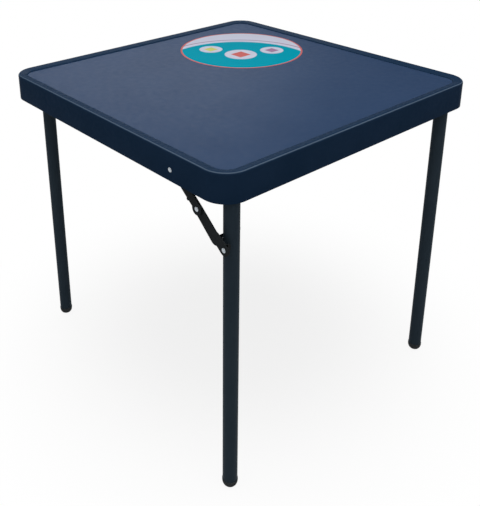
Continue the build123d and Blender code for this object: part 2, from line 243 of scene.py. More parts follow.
class Finish:
    """A material under construction, with the few steps that every finish here uses."""

    def __init__(self, name, roughness, gloss, metal=0.0):
        self.material = bpy.data.materials.new(name)
        self.tree = empty_tree(self.material)
        self.shader = self.add("ShaderNodeBsdfPrincipled", {
            "Roughness": roughness, "Specular IOR Level": gloss, "Metallic": metal})
        self.add("ShaderNodeOutputMaterial", {"Surface": self.shader.outputs[0]})
        self.place = self.add("ShaderNodeTexCoord").outputs["Object"]
        print("finish:", name)

    def add(self, kind, inputs=(), **settings):
        """Adds one node to this material."""
        return step(self.tree, kind, inputs, **settings)

    def noise(self, grain, detail=2.0):
        """Noise whose lumps are about one grain across."""
        return self.add("ShaderNodeTexNoise", {
            "Scale": 1 / grain, "Detail": detail, "Vector": self.place}).outputs["Fac"]

    def spread(self, value, low, high, start=0.3, end=0.7):
        """Stretches a value to run from low to high."""
        return range_step(self.tree, value, low, high, start, end)

    def sum(self, operation, first, second):
        """A sum of two values, each a socket or a number."""
        return math_step(self.tree, operation, first, second)

    def blend(self, factor, first, second):
        """Mixes two colours, each a socket or three numbers."""
        one, two = ((*colour, 1) if isinstance(colour, tuple) else colour for colour in (first, second))
        return self.add("ShaderNodeMix", {0: factor, 6: one, 7: two}, data_type="RGBA").outputs[2]

    def relief(self, height, depth, below=None):
        """Raises the surface by a height times a depth, over another relief if there is one."""
        inputs = {"Distance": depth, "Height": height}
        if below:
            inputs["Normal"] = below
        raised = self.add("ShaderNodeBump", inputs).outputs[0]
        self.feed("Normal", raised)
        return raised

    def feed(self, socket, source):
        """Joins a source to one input of the shader."""
        self.tree.links.new(source, self.shader.inputs[socket])

    def colour(self, source):
        """Joins what gives the colour."""
        self.feed("Base Color", source)

    def roughness(self, source):
        """Joins what gives the roughness."""
        self.feed("Roughness", source)


# %% [markdown]
# The band, the rails and the legs are powder coated, and the stays and straps wear a duller paint of
# the same kind. Powder melts into a skin with a faint orange peel, about a millimetre from lump to
# lump, and its colour drifts a little over a hand's breadth.
# A real peel is far too fine for geometry, so it is relief in the shader. On the crest of the lip, where the
# sheet is bent over, a paler line is painted into the colour as a highlight.

# %% Powder coats
lip_radius, corner_radius = 5 * mm, 50 * mm
highlight_tilt, highlight_reach = math.radians(40), math.radians(19)
colour_patch, gloss_patch = 70 * mm, 9 * mm
peel_lump, peel_depth = 1.6 * mm, 0.02 * mm
sag_lump, sag_depth = 7 * mm, 0.05 * mm
band_low, band_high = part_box("edge_frame")


def painted_crest_highlight(coat):
    """A painted highlight: one along the outer crest of the lip, and nothing elsewhere on the band."""
    apart = coat.add("ShaderNodeSeparateXYZ", {0: coat.place}).outputs
    straight = band_high[0] - corner_radius
    beyond = [coat.sum("MAXIMUM", coat.sum("SUBTRACT", coat.sum("ABSOLUTE", apart[axis], 0), straight), 0)
              for axis in ("X", "Y")]
    squares = [coat.sum("POWER", value, 2) for value in beyond]
    outwards = coat.sum("SQRT", coat.sum("ADD", *squares), 0)
    sideways = coat.sum("SUBTRACT", outwards, corner_radius - lip_radius)
    upwards = coat.sum("SUBTRACT", apart["Z"], band_high[2] - lip_radius)
    tilt = coat.sum("ARCTAN2", sideways, upwards)
    off = coat.sum("ABSOLUTE", coat.sum("SUBTRACT", tilt, highlight_tilt), 0)
    return coat.spread(off, 1, 0, 0, highlight_reach)


def powder_coat(name, dark, light, roughness, gloss, thin=None):
    """Powder coat between two close colours, with orange peel, and perhaps a painted highlight on the crest.
    """
    coat = Finish(name, roughness, gloss)
    colour = coat.blend(coat.spread(coat.noise(colour_patch), 0, 1), dark, light)
    # A paler colour on the crest is a painted highlight.
    if thin:
        colour = coat.blend(painted_crest_highlight(coat), colour, thin)
    coat.colour(colour)
    coat.roughness(coat.spread(coat.noise(gloss_patch, 3), roughness - 0.05, roughness + 0.05))
    peel = coat.relief(coat.noise(peel_lump), peel_depth)
    coat.relief(coat.noise(sag_lump), sag_depth, peel)
    return coat.material


# The band's paler crest colour is a painted highlight along the lip.
navy_band_coat = powder_coat("navy_band_coat", (0.0118, 0.031, 0.067), (0.0145, 0.035, 0.075), 0.27, 0.002,
                             thin=(0.115, 0.165, 0.235))
black_leg_coat = powder_coat("black_leg_coat", (0.0300, 0.046, 0.062), (0.0350, 0.052, 0.069), 0.36, 0.014)
black_stay_paint = powder_coat("black_stay_paint", (0.021, 0.024, 0.027), (0.027, 0.031, 0.034), 0.40, 0.01)

# %% [markdown]
# The panel is a thin fibre board with a blue-grey printed skin, pressed with a fine leathery grain.
# Only its top has the skin. Underneath it is bare hardboard, brown and fibrous. One material does
# both, by the height of the point, since board and skin are one piece.

# %% Panel skin and bare board
panel_low, panel_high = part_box("top_panel")
skin_depth, grain_cell = 0.6 * mm, 1.4 * mm


def skinned_board():
    """Grained blue-grey skin over brown hardboard."""
    board = Finish("skinned_board", 0.5, 0.018)
    height = board.add("ShaderNodeSeparateXYZ", {0: board.place}).outputs["Z"]
    is_skin = board.sum("GREATER_THAN", height, panel_high[2] - skin_depth)
    drift = board.spread(board.noise(120 * mm, 3), 0, 1)
    skin = board.blend(drift, (0.0235, 0.0515, 0.117), (0.0275, 0.0575, 0.127))
    fibres = board.spread(board.noise(2.5 * mm, 6), 0, 1)
    bare = board.blend(fibres, (0.10, 0.060, 0.034), (0.16, 0.100, 0.058))
    board.colour(board.blend(is_skin, bare, skin))
    board.roughness(board.spread(board.noise(14 * mm, 3), 0.46, 0.56))
    cells = board.add("ShaderNodeTexVoronoi", {"Scale": 1 / grain_cell, "Vector": board.place},
                      feature="SMOOTH_F1")
    grain = board.relief(cells.outputs["Distance"], 0.04 * mm)
    board.relief(board.noise(30 * mm), 0.15 * mm, grain)
    return board.material


panel_skin = skinned_board()
print("panel from", round(panel_low[2], 4), "to", round(panel_high[2], 4), "m")

# %% [markdown]
# The round label is a printed film. Its print is drawn with distances from a few centres, in units
# of the label's own radius, turned to face the front corner: a pale crescent, three pale spots with
# lozenges and a thin coral ring on a teal ground. It carries no words.

# %% Printed film of the label
label_low, label_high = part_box("top_label")
label_centre = (label_low + label_high) / 2
label_radius = (label_high[0] - label_low[0]) / 2
TEAL, PALE = (0.0, 0.300, 0.405), (0.55, 0.57, 0.68)
CORAL, MUSTARD, MAUVE = (0.56, 0.14, 0.13), (0.56, 0.58, 0.18), (0.34, 0.20, 0.32)
ring_inner_share = 0.972
crescent_share = (0.0, -0.75, 1.2)
stripe_shares = (0.10, 0.13)
spot_shares = ((-0.50, -0.02, 0.19, MUSTARD), (0.0, -0.28, 0.26, CORAL), (0.50, -0.02, 0.19, MAUVE))
lozenge_share, print_blur = 0.62, 0.006


def printed_film():
    """Teal film with a crescent, spots and lozenges."""
    film = Finish("printed_film", 0.42, 0.001)
    turn = film.add("ShaderNodeMapping", {
        0: film.place, "Location": label_centre, "Rotation": (0, 0, math.radians(-45)),
        "Scale": (label_radius,) * 3}, vector_type="TEXTURE")
    axes = film.add("ShaderNodeSeparateXYZ", {0: turn.outputs[0]}).outputs

    def offsets(centre):
        return [film.sum("SUBTRACT", axes[axis], centre[axis]) for axis in (0, 1)]

    def reach(*centre):
        squares = [film.sum("POWER", offset, 2) for offset in offsets(centre)]
        return film.sum("SQRT", film.sum("ADD", *squares), 0)

    def lozenge(*centre):
        return film.sum("ADD", *[film.sum("ABSOLUTE", offset, 0) for offset in offsets(centre)])

    def inside(distance, radius):
        return film.spread(distance, 1, 0, radius - print_blur, radius + print_blur)

    def outside(distance, radius):
        return film.sum("SUBTRACT", 1, inside(distance, radius))

    x, y, radius = crescent_share
    from_bite = reach(x, y)
    colour = film.blend(outside(from_bite, radius), TEAL, PALE)
    near, far = (radius + share for share in stripe_shares)
    stripe = film.sum("MULTIPLY", inside(from_bite, far), outside(from_bite, near))
    colour = film.blend(stripe, colour, MAUVE)
    for x, y, radius, inner in spot_shares:
        colour = film.blend(inside(reach(x, y), radius), colour, PALE)
        colour = film.blend(inside(lozenge(x, y), lozenge_share * radius), colour, inner)
    film.colour(film.blend(outside(reach(0, 0), ring_inner_share), colour, CORAL))
    film.relief(film.noise(25 * mm), 0.05 * mm)
    return film.material


label_film = printed_film()
print("label radius:", round(label_radius, 4), "m")

# %% [markdown]
# The rivets and screws are zinc plated, which is bright with a cloudy bloom, so the roughness
# drifts. The feet and the plugs are soft dark plastic, dull and slightly mottled. The bushes are
# nylon.

# %% Zinc, feet plastic and nylon
def zinc_plate():
    """Bright plated steel with a cloudy bloom."""
    plate = Finish("zinc_plate", 0.3, 0.5, metal=1.0)
    bloom = plate.noise(2.2 * mm, 4)
    plate.colour(plate.blend(plate.spread(bloom, 0, 1), (0.25, 0.29, 0.32), (0.62, 0.66, 0.70)))
    plate.roughness(plate.spread(plate.noise(1.1 * mm, 3), 0.25, 0.45))
    plate.relief(plate.noise(0.7 * mm), 0.03 * mm)
    return plate.material


def moulded_plastic(name, dark, light, roughness, gloss):
    """Dull moulding, faintly mottled, with a fine spark-eroded texture."""
    plastic = Finish(name, roughness, gloss)
    plastic.colour(plastic.blend(plastic.spread(plastic.noise(12 * mm, 4), 0, 1), dark, light))
    plastic.roughness(plastic.spread(plastic.noise(5 * mm, 3), roughness - 0.08, roughness + 0.06))
    plastic.relief(plastic.noise(0.6 * mm), 0.03 * mm)
    return plastic.material


bright_zinc = zinc_plate()
foot_plastic = moulded_plastic("foot_plastic", (0.048, 0.053, 0.057), (0.060, 0.066, 0.070), 0.60, 0.012)
bush_nylon = moulded_plastic("bush_nylon", (0.020, 0.020, 0.021), (0.028, 0.028, 0.029), 0.45, 0.15)

# %% [markdown]
# Most pieces of this table are simple in one way: a section carried along a path. The band's section
# goes round the square, a tube's goes round its axis, a strap's goes along its width. So one helper
# lays a skin over a row of rings, and each piece only has to say where its rings are.

# %% Helper that skins a row of rings
weld_distance = 0.0005 * mm
skin_crease = 35


def add_skin(mesh, rings, looped):
    """Adds a closed shell over a row of rings, each a closed loop of as many points."""
    rows = [[mesh.verts.new(point) for point in ring] for ring in rings]
    for one, two in zip(rows, rows[1:] + (rows[:1] if looped else [])):
        for at in range(len(one)):
            mesh.faces.new((one[at - 1], one[at], two[at], two[at - 1]))
    if not looped:
        mesh.faces.new(rows[0])
        mesh.faces.new(list(reversed(rows[-1])))


def settle(piece, crease, body, nodes):
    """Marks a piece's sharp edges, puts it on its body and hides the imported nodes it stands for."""
    piece.data.set_sharp_from_angle(angle=math.radians(crease))
    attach(piece, body)
    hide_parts(*nodes)
    print(piece.name, "faces:", len(piece.data.polygons))


def make_piece(name, shells, body, nodes, material):
    """One object from shells of rings, standing for its nodes and moving with its body."""
    mesh = bmesh.new()
    for rings, looped in shells:
        add_skin(mesh, rings, looped)
    bmesh.ops.remove_doubles(mesh, verts=mesh.verts, dist=weld_distance)
    bmesh.ops.dissolve_degenerate(mesh, edges=mesh.edges, dist=weld_distance)
    bmesh.ops.recalc_face_normals(mesh, faces=mesh.faces)
    data = bpy.data.meshes.new(name)
    mesh.to_mesh(data)
    mesh.free()
    data.shade_smooth()
    data.materials.append(material)
    piece = bpy.data.objects.new(name, data)
    bpy.context.scene.collection.objects.link(piece)
    settle(piece, skin_crease, body, nodes)


# %% [markdown]
# The band is pressed from one strip of sheet steel: it stands up as the apron, rolls over a round
# lip, slopes inwards and folds down onto the panel. Its section is lines and arcs. The corners are
# where a stand-in shows itself, so the section is carried round each corner in many small turns.

# %% Section of the band
half_side = band_high[0]
table_height = band_high[2]
apron_depth = table_height - band_low[2]
sheet = 1.5 * mm
lip_slope, lip_flat, fold_radius = math.radians(12), 13.2 * mm, 4 * mm
panel_top = panel_high[2]
hem_radius = 0.5 * mm
crest_steps, fold_steps, hem_steps = 14, 8, 4


def arc(centre, radius, start, end, steps):
    """Points along an arc, in degrees."""
    angles = [math.radians(start + (end - start) * at / steps) for at in range(steps + 1)]
    return [(centre[0] + radius * math.cos(a), centre[1] + radius * math.sin(a)) for a in angles]


def lip_face(depth):
    """One face of the lip, a depth below the outer face, from the apron to the panel."""
    crest = (lip_radius, -lip_radius)
    shift = lip_radius - fold_radius
    fold = (lip_radius + shift * math.sin(lip_slope) + lip_flat * math.cos(lip_slope),
            shift * math.cos(lip_slope) - lip_radius - lip_flat * math.sin(lip_slope))
    down = math.degrees(math.asin((panel_top - table_height - fold[1]) / (fold_radius - depth)))
    slope = math.degrees(lip_slope)
    return (arc(crest, lip_radius - depth, 180, 90 - slope, crest_steps)
            + arc(fold, fold_radius - depth, 90 - slope, down, fold_steps))


hem = arc((sheet - hem_radius, hem_radius - apron_depth), hem_radius, 0, -90, hem_steps)
hem += arc((hem_radius, hem_radius - apron_depth), hem_radius, -90, -180, hem_steps)
band_section = hem + lip_face(0) + lip_face(sheet)[::-1]
print("band section points:", len(band_section), "apron:", round(apron_depth, 4), "m")

# %% Band round the table
corner_steps, panel_steps, label_steps = 20, 12, 144


def round_square(half, radius, steps):
    """Stations round a square with round corners: each a point and the direction outwards."""
    stations = []
    for corner in range(4):
        start = 90 * corner
        middle = math.radians(start + 45)
        centre = [math.copysign(half - radius, part) for part in (math.cos(middle), math.sin(middle))]
        for x, y in arc((0, 0), 1, start, start + 90, steps):
            stations.append((Vector((*centre, 0)), Vector((x, y, 0))))
    return stations


band_rings = [[centre + out * (corner_radius - inwards) + Vector((0, 0, table_height + rise))
               for inwards, rise in band_section]
              for centre, out in round_square(half_side, corner_radius, corner_steps)]
make_piece("band", [(band_rings, True)], "top", ["edge_frame"], navy_band_coat)

# %% [markdown]
# The panel lies under the lip, so its edge never shows, but its corners and eased edges are still
# made, because the part is also looked at from below and as a bare mesh.

# %% Panel and label
panel_corner = corner_radius - (half_side - panel_high[0])
panel_ease = 0.8 * mm
label_ease = 0.08 * mm


def eased_board(low, high, ease):
    """Insets and heights for a board whose two edges are rounded over."""
    under = [(ease - inset, low + ease + rise) for inset, rise in arc((0, 0), ease, -90, 0, 4)]
    over = [(ease - inset, high - ease + rise) for inset, rise in arc((0, 0), ease, 0, 90, 4)]
    return under + over


panel_rings = [[centre + out * (panel_corner - inset) + Vector((0, 0, z))
                for centre, out in round_square(panel_high[0], panel_corner, panel_steps)]
               for inset, z in eased_board(panel_low[2], panel_high[2], panel_ease)]
make_piece("panel", [(panel_rings, False)], "top", ["top_panel"], panel_skin)

label_rings = [[Vector((label_centre[0] + x, label_centre[1] + y, z))
                for x, y in arc((0, 0), label_radius - inset, 0, 360, label_steps)[:-1]]
               for inset, z in eased_board(label_low[2], label_high[2], label_ease)]
make_piece("label", [(label_rings, False)], "top", ["top_label"], label_film)

# %% [markdown]
# Tubes, feet, plugs, washers and collars are all turned shapes. A lathe needs only half a section:
# each point gives a distance from the axis and a place along it, and the helper carries it round.

# %% Helper that turns a section about an axis
def turned(section, base, axis, steps=64):
    """Rings for a shape turned about an axis: a ring for each step round."""
    base, axis = Vector(base), Vector(axis)
    side = axis.orthogonal().normalized()
    other = axis.cross(side)
    return [[base + axis * along + (side * x + other * y) * out for out, along in section]
            for x, y in arc((0, 0), 1, 0, 360, steps)[:-1]]


def tube_section(outer, inner, start, end, ease):
    """Section of a tube with its four edges eased."""
    return [(inner + ease, start), (outer - ease, start), (outer, start + ease), (outer, end - ease),
            (outer - ease, end), (inner + ease, end), (inner, end - ease), (inner, start + ease)]


# %% [markdown]
# A leg is a plain drawn tube, open at both ends. The foot is a moulded cap: its round sole carries
# the table, its spigot goes up the tube, and a thin skirt hides the cut end of the tube. The plug
# closes the top in the same way.

# %% Legs, feet and plugs
leg_wall = 1.2 * mm
leg_ease = 0.25 * mm
snug_gap = 0.05 * mm
sole_flat = 5 * mm
skirt_wall, skirt_rise = 0.8 * mm, 4 * mm
spigot_shoulder, plug_round = 0.6 * mm, 2.5 * mm
legs = {"front": "leg_frame_front", "right": "leg_frame_front",
        "back": "leg_frame_back", "left": "leg_frame_back"}


def foot_section(radius, sole_top, spigot, top):
    """Half section of a foot, from the middle of its sole to the top of its spigot."""
    wide = radius + skirt_wall
    sole = [(sole_flat + (wide - sole_flat) * across, sole_top * (1 + up))
            for across, up in arc((0, 0), 1, -90, 0, 14)]
    rim = sole_top + skirt_rise
    skirt = arc((wide - skirt_wall / 2, rim - skirt_wall / 2), skirt_wall / 2, 0, 150, 5)
    socket = [(radius + snug_gap, rim - skirt_wall), (radius + snug_gap, sole_top), (spigot, sole_top)]
    tip = [(spigot, top - spigot_shoulder), (spigot - spigot_shoulder, top), (0, top)]
    return [(0, 0), *sole, *skirt, *socket, *tip]


def plug_section(radius, rim, spigot, bottom, top):
    """Half section of a plug, from the bottom of its spigot to the middle of its cap."""
    cap = arc((radius - plug_round, top - plug_round), plug_round, 0, 90, 6)
    return [(0, bottom), (spigot, bottom), (spigot, rim), (radius, rim), *cap, (0, top)]


for corner, body in legs.items():
    low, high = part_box(f"leg_{corner}")
    radius = (high[0] - low[0]) / 2
    middle = ((low[0] + high[0]) / 2, (low[1] + high[1]) / 2, 0)
    spigot = radius - leg_wall - snug_gap
    foot_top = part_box(f"foot_{corner}")[1][2]
    plug_low, plug_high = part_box(f"leg_plug_{corner}")
    for name, node, slot, material, section in (
            ("leg_tube", "leg", "leg_paint", black_leg_coat,
             tube_section(radius, radius - leg_wall, low[2], high[2], leg_ease)),
            ("foot_cap", "foot", "feet_plastic", foot_plastic,
             foot_section(radius, low[2], spigot, foot_top)),
            ("tube_plug", "leg_plug", "feet_plastic", foot_plastic,
             plug_section(radius, high[2], spigot, plug_low[2], plug_high[2]))):
        make_piece(f"{corner}_{name}", [(turned(section, middle, (0, 0, 1)), True)], body,
                   [f"{node}_{corner}"], material)

# %% [markdown]
# The cross tubes and the nylon bushes are cut round their neighbours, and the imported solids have
# those cuts exactly. They stay as they are. Their triangles are loose, so a small node tree welds
# them, smooths them, and marks the edges that are really sharp.

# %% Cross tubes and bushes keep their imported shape
packed_weld, packed_crease = 0.001 * mm, 0.6


def new_tree(name, inputs):
    """A geometry tree with a geometry socket and named inputs."""
    tree = bpy.data.node_groups.new(name, "GeometryNodeTree")
    tree.interface.new_socket("Geometry", in_out="INPUT", socket_type="NodeSocketGeometry")
    for label, (kind, value) in inputs.items():
        socket = tree.interface.new_socket(label, in_out="INPUT", socket_type=f"NodeSocket{kind}")
        socket.default_value = value
    tree.interface.new_socket("Geometry", in_out="OUTPUT", socket_type="NodeSocketGeometry")
    return tree


def fair_tree():
    """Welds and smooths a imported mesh, but for its sharp edges."""
    tree = new_tree("fair_packed_mesh", {"Crease": ("Float", packed_crease)})
    entry = step(tree, "NodeGroupInput").outputs
    weld = made(tree, "GeometryNodeMergeByDistance", {"Geometry": entry[0], "Distance": packed_weld})
    smooth = made(tree, "GeometryNodeSetShadeSmooth", {"Geometry": weld})
    angle = made(tree, "GeometryNodeInputMeshEdgeAngle")
    sharp = made(tree, "FunctionNodeCompare", {0: angle, 1: entry["Crease"]})
    crease = made(tree, "GeometryNodeSetShadeSmooth", {
        "Geometry": smooth, "Selection": sharp, "Shade Smooth": False}, domain="EDGE")
    step(tree, "NodeGroupOutput", {0: crease})
    return tree


fair = fair_tree()
kept = {name: black_leg_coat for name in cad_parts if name.startswith("cross_tube")}
kept.update({name: bush_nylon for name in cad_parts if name.startswith("hinge_bush")})
for name, material in kept.items():
    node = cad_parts[name]
    node.data.materials.clear()
    node.data.materials.append(material)
    node.modifiers.new("fair", "NODES").node_group = fair
print("packed shapes kept:", sorted(kept))

# %% [markdown]
# The rails and the hinge straps are strips of sheet, bent on a press brake. A bent strip is a line
# with round corners and a thickness, so the helper walks the line and steps half the thickness to
# each side. That gives every bend its real inner and outer radius.

# %% Helper for bent sheet
bend_steps = 6


def bent_line(corners, radii):
    """Points and sideways directions along a line with round corners."""
    points = [Vector(corner) for corner in corners]
    stations = []
    for at, corner in enumerate(points):
        if at in (0, len(points) - 1):
            run = (points[1] - points[0]) if at == 0 else (points[-1] - points[-2])
            stations.append((corner, run.normalized().orthogonal()))
            continue
        before, after = (corner - points[at - 1]).normalized(), (points[at + 1] - corner).normalized()
        turn = before.angle_signed(after)
        radius = radii[at - 1]
        start = corner - before * radius * math.tan(abs(turn) / 2)
        side = before.orthogonal() * (-1 if turn > 0 else 1)
        centre = start + side * radius
        for at_bend in range(bend_steps + 1):
            spoke = Matrix.Rotation(-turn * at_bend / bend_steps, 2) @ -side
            along = spoke.orthogonal() * (1 if turn > 0 else -1)
            stations.append((centre + spoke * radius, along.orthogonal()))
    return stations


def sheet_ring(corners, radii, thickness):
    """Closed outline of a bent strip of sheet."""
    half = thickness / 2
    stations = bent_line(corners, radii)
    one = [point + side * half for point, side in stations]
    two = [point - side * half for point, side in stations]
    return one + two[::-1]


# %% [markdown]
# Each rail is a shallow hat section that runs from band to band and holds the panel up. Each hinge
# strap is a saddle over its bush with a screwed flange at each side.

# %% Rails and hinge straps
rail_crown, rail_sheet, strap_sheet = 30 * mm, 1.5 * mm, 2 * mm
press_bend = 1.6 * mm
nearly_half_round = 0.999


def hat_strip(name, node, gauge, middle, wall, crown_bend, material):
    """A strip of sheet bent to a hat, with two flanges at the top of its packed box."""
    low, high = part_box(node)
    top, crown = high[2] - gauge / 2, low[2] + gauge / 2
    corners = [(low[1], top), (middle - wall, top), (middle - wall, crown),
               (middle + wall, crown), (middle + wall, top), (high[1], top)]
    ring = sheet_ring(corners, [press_bend, crown_bend, crown_bend, press_bend], gauge)
    rings = [[Vector((x, point[0], point[1])) for point in ring] for x in (low[0], high[0])]
    make_piece(name, [(rings, False)], "top", [node], material)


for end in ("front", "back"):
    low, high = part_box(f"rail_{end}")
    hat_strip(f"{end}_panel_rail", f"rail_{end}", rail_sheet, (low[1] + high[1]) / 2,
              rail_crown / 2 - rail_sheet / 2, press_bend, navy_band_coat)

strap_names = sorted(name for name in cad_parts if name.startswith("hinge_strap"))
for name in strap_names:
    bush_low, bush_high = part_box(name.replace("strap", "bush"))
    middle = (bush_low[1] + bush_high[1]) / 2
    wall = (bush_high[1] - bush_low[1]) / 2 + strap_sheet / 2 + snug_gap
    hat_strip(name.replace("hinge_strap", "hinge_saddle"), name, strap_sheet, middle, wall,
              wall * nearly_half_round, black_stay_paint)

# %% [markdown]
# The folding stay is two flat links. A link's outline is a few round bosses with straight flanks
# between them. It could be drawn as a long list of points, but it is better to say what it is made
# of: rods, each the hull of one or two circles. At any place along the link its two edges are then
# the outermost edges of its rods, and the helper carries an eased strip between them.

# %% Helper for flat links
link_ease, ease_share = 0.3 * mm, 0.3
boss_steps = 20


def rod_edge(rod, along, side):
    """Height of one edge of a rod, the hull of one or two circles, at a place along the link."""
    first, last = rod[0], rod[-1]
    if len(rod) == 2:
        run = Vector((last[0] - first[0], last[1] - first[1]))
        lean = (first[2] - last[2]) / run.length
        run.normalize()
        normal = run * lean + run.orthogonal() * side * math.sqrt(1 - lean**2)
        start, end = (Vector(circle[:2]) + normal * circle[2] for circle in rod)
        if start.x < along < end.x:
            return start.y + (end.y - start.y) * (along - start.x) / (end.x - start.x)
        first = first if along <= start.x else last
    return first[1] + side * math.sqrt(max(first[2] ** 2 - (along - first[0]) ** 2, 0))


def flat_link(rods, clip=(-1.0, 1.0)):
    """Stations along a flat link between two clips: the place and its lower and upper edge."""
    circles = [circle for rod in rods for circle in rod]
    angles = [math.pi * (at + 0.5) / boss_steps for at in range(boss_steps)]
    places = {round(c[0] + c[2] * math.cos(angle), 7) for c in circles for angle in angles}
    places |= {place for place in clip if min(places) < place < max(places)}
    stations = []
    for along in sorted(place for place in places if clip[0] <= place <= clip[1]):
        here = [rod for rod in rods
                if rod[0][0] - rod[0][2] <= along <= rod[-1][0] + rod[-1][2]]
        stations.append((along, min(rod_edge(rod, along, -1) for rod in here),
                         max(rod_edge(rod, along, 1) for rod in here)))
    return stations


def link_rings(stations, place, low, high):
    """Eased rings across a flat link, with its faces at two depths."""
    rings = []
    for along, under, over in stations:
        ease = min(link_ease, (over - under) * ease_share)
        ring = [(under + ease, low), (over - ease, low), (over, low + link_ease),
                (over, high - link_ease), (over - ease, high), (under + ease, high),
                (under, high - link_ease), (under, low + link_ease)]
        rings.append([place(along, across, depth) for across, depth in ring])
    return rings


# %% [markdown]
# The stay runs in a straight line from the rivet in the apron to the rivet on the leg, with its elbow
# half way. So all places on it are told along the stay and across it, towards the hinge. The upper
# link has a straight back with a small folded edge, a boss at the elbow and a stop ear. The lower
# link starts at the elbow, widens into a belly and ends in an eye.

# %% Links of the two stays
def box_middle(name):
    """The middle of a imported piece's box."""
    low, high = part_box(name)
    return (low + high) / 2


top_rivet, leg_rivet = box_middle("stay_rivet_front"), box_middle("pivot_rivet_front")
stay_line = Vector((0, leg_rivet[1] - top_rivet[1], leg_rivet[2] - top_rivet[2]))
link_length = stay_line.length / 2
down_stay = stay_line.normalized()
across_stay = Vector((0, down_stay[2], -down_stay[1]))
link_sheet, fold_sheet = 2 * mm, 1.5 * mm
waist, back, bar_corner = 6.5 * mm, 14.5 * mm, 6 * mm
boss, ear, ear_from_elbow = 12.3 * mm, 3.2 * mm, 25.5 * mm
elbow_end, elbow_drop = 12.5 * mm, 1 * mm
belly, belly_drop, belly_from_eye = 13.5 * mm, 3.9 * mm, 26 * mm
eye = 11.5 * mm


def on_stay(along, across, depth):
    """A point of the front stay from its three places."""
    point = top_rivet + down_stay * along + across_stay * across
    return Vector((depth, point[1], point[2]))


def on_fold(along, depth, across):
    """The same, for the folded edge, which is drawn in its own plane."""
    return on_stay(along, across, depth)


bar_start, bar_end = bar_corner - waist, link_length + waist - bar_corner
bar_rods = [((bar_start, across, bar_corner), (bar_end, across, bar_corner))
            for across in (back - bar_corner, bar_corner - waist)]
upper_rods = [*bar_rods, ((link_length, 0, boss),), ((link_length - ear_from_elbow, -waist, ear),)]
belly_place = 2 * link_length - belly_from_eye
lower_rods = [((link_length, -elbow_drop, elbow_end), (belly_place, -belly_drop, belly)),
              ((belly_place, 0, eye), (2 * link_length, 0, eye))]
upper_low, upper_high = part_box("upper_link_front")
lower_low, lower_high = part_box("lower_link_front")
web = (upper_low[0], upper_low[0] + link_sheet)
fold_round = fold_sheet / 2
fold_depth = (web[0] + fold_round, upper_high[0] - fold_round)
fold_rods = [((fold_round, depth, fold_round), (link_length - fold_round, depth, fold_round))
             for depth in fold_depth]
upper_shells = [link_rings(flat_link(upper_rods), on_stay, *web),
                link_rings(flat_link(fold_rods), on_fold, back - fold_sheet, back)]
lower_shells = [link_rings(flat_link(lower_rods), on_stay, lower_low[0], lower_high[0])]


def at_end(shells, end):
    """The same open shells at the front, or half a turn about the upright axis away at the back."""
    turn = -1 if end == "back" else 1
    return [([[Vector((turn * point[0], turn * point[1], point[2])) for point in ring]
              for ring in rings], False) for rings in shells]


for end in ("front", "back"):
    make_piece(f"{end}_stay_upper", at_end(upper_shells, end), f"upper_link_body_{end}",
               [f"upper_link_{end}"], black_stay_paint)
    make_piece(f"{end}_stay_lower", at_end(lower_shells, end), f"lower_link_body_{end}",
               [f"lower_link_{end}"], black_stay_paint)
print("stay length:", round(2 * link_length, 4), "m")

# %% [markdown]
# The bracket on the leg is a channel of sheet with one flange longer than the other. Its web carries
# a round eye for the stay. Web, flanges and eye are flat links too, each in its own plane.

# %% Brackets on the legs
bracket_low, bracket_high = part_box("leg_bracket_front")
bracket_sheet, bracket_corner = 2 * mm, 5 * mm
bracket_eye, short_flange = 11 * mm, 8.5 * mm
bracket_drop, bracket_rise = 2 * mm, 13 * mm
leg_low, leg_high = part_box("leg_front")
leg_middle_y = (leg_low[1] + leg_high[1]) / 2
half_width = (leg_high[1] - leg_low[1]) / 2 + snug_gap + bracket_sheet
channel_low, channel_high = leg_rivet[2] - bracket_drop, leg_rivet[2] + bracket_rise
web_middle, web_round = (channel_low + channel_high) / 2, (channel_high - channel_low) / 2


def on_web(along, across, depth):
    """A point of the bracket's web, whose thickness runs along X."""
    return Vector((depth, along, across))


def on_flange(along, across, depth):
    """A point of one of its flanges, whose thickness runs along Y."""
    return Vector((along, depth, across))


def flange(reach, side):
    """One flange of the channel, with round corners at its free end."""
    end = bracket_low[0] + reach - bracket_corner
    rows = (channel_low + bracket_corner, channel_high - bracket_corner)
    rods = [((bracket_low[0], row, bracket_corner), (end, row, bracket_corner)) for row in rows]
    faces = sorted(leg_middle_y + side * (half_width - depth) for depth in (0, bracket_sheet))
    return link_rings(flat_link(rods, (bracket_low[0], 1.0)), on_flange, *faces)


web_clip = (leg_middle_y - half_width, leg_middle_y + half_width)
web_rods = [tuple((edge, web_middle, web_round) for edge in web_clip)]
web_faces = (bracket_low[0], bracket_low[0] + bracket_sheet)
bracket_shells = [
    link_rings(flat_link(web_rods, web_clip), on_web, *web_faces),
    link_rings(flat_link([((leg_rivet[1], leg_rivet[2], bracket_eye),)]), on_web, *web_faces),
    flange(bracket_high[0] - bracket_low[0], 1),
    flange(short_flange, -1)]
for end in ("front", "back"):
    make_piece(f"{end}_stay_bracket", at_end(bracket_shells, end), f"leg_frame_{end}",
               [f"leg_bracket_{end}"], black_stay_paint)

# %% [markdown]
# A collar keeps the stay off the apron, and a washer keeps its two links apart. Both are short tubes
# on the rivets, turned about the rivet's own axis.

# %% Collars and washers
rivet_bore = 2.55 * mm
small_ease = 0.2 * mm
for end in ("front", "back"):
    for node, name, body in ((f"stay_spacer_{end}", f"{end}_stay_collar", "top"),
                             (f"elbow_washer_{end}", f"{end}_elbow_ring", f"upper_link_body_{end}")):
        low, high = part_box(node)
        middle, radius = (low + high) / 2, (high[1] - low[1]) / 2
        section = tube_section(radius, rivet_bore, low[0], high[0], small_ease)
        rings = turned(section, (0, middle[1], middle[2]), (1, 0, 0), steps=40)
        make_piece(name, [(rings, True)], body, [node], bright_zinc)

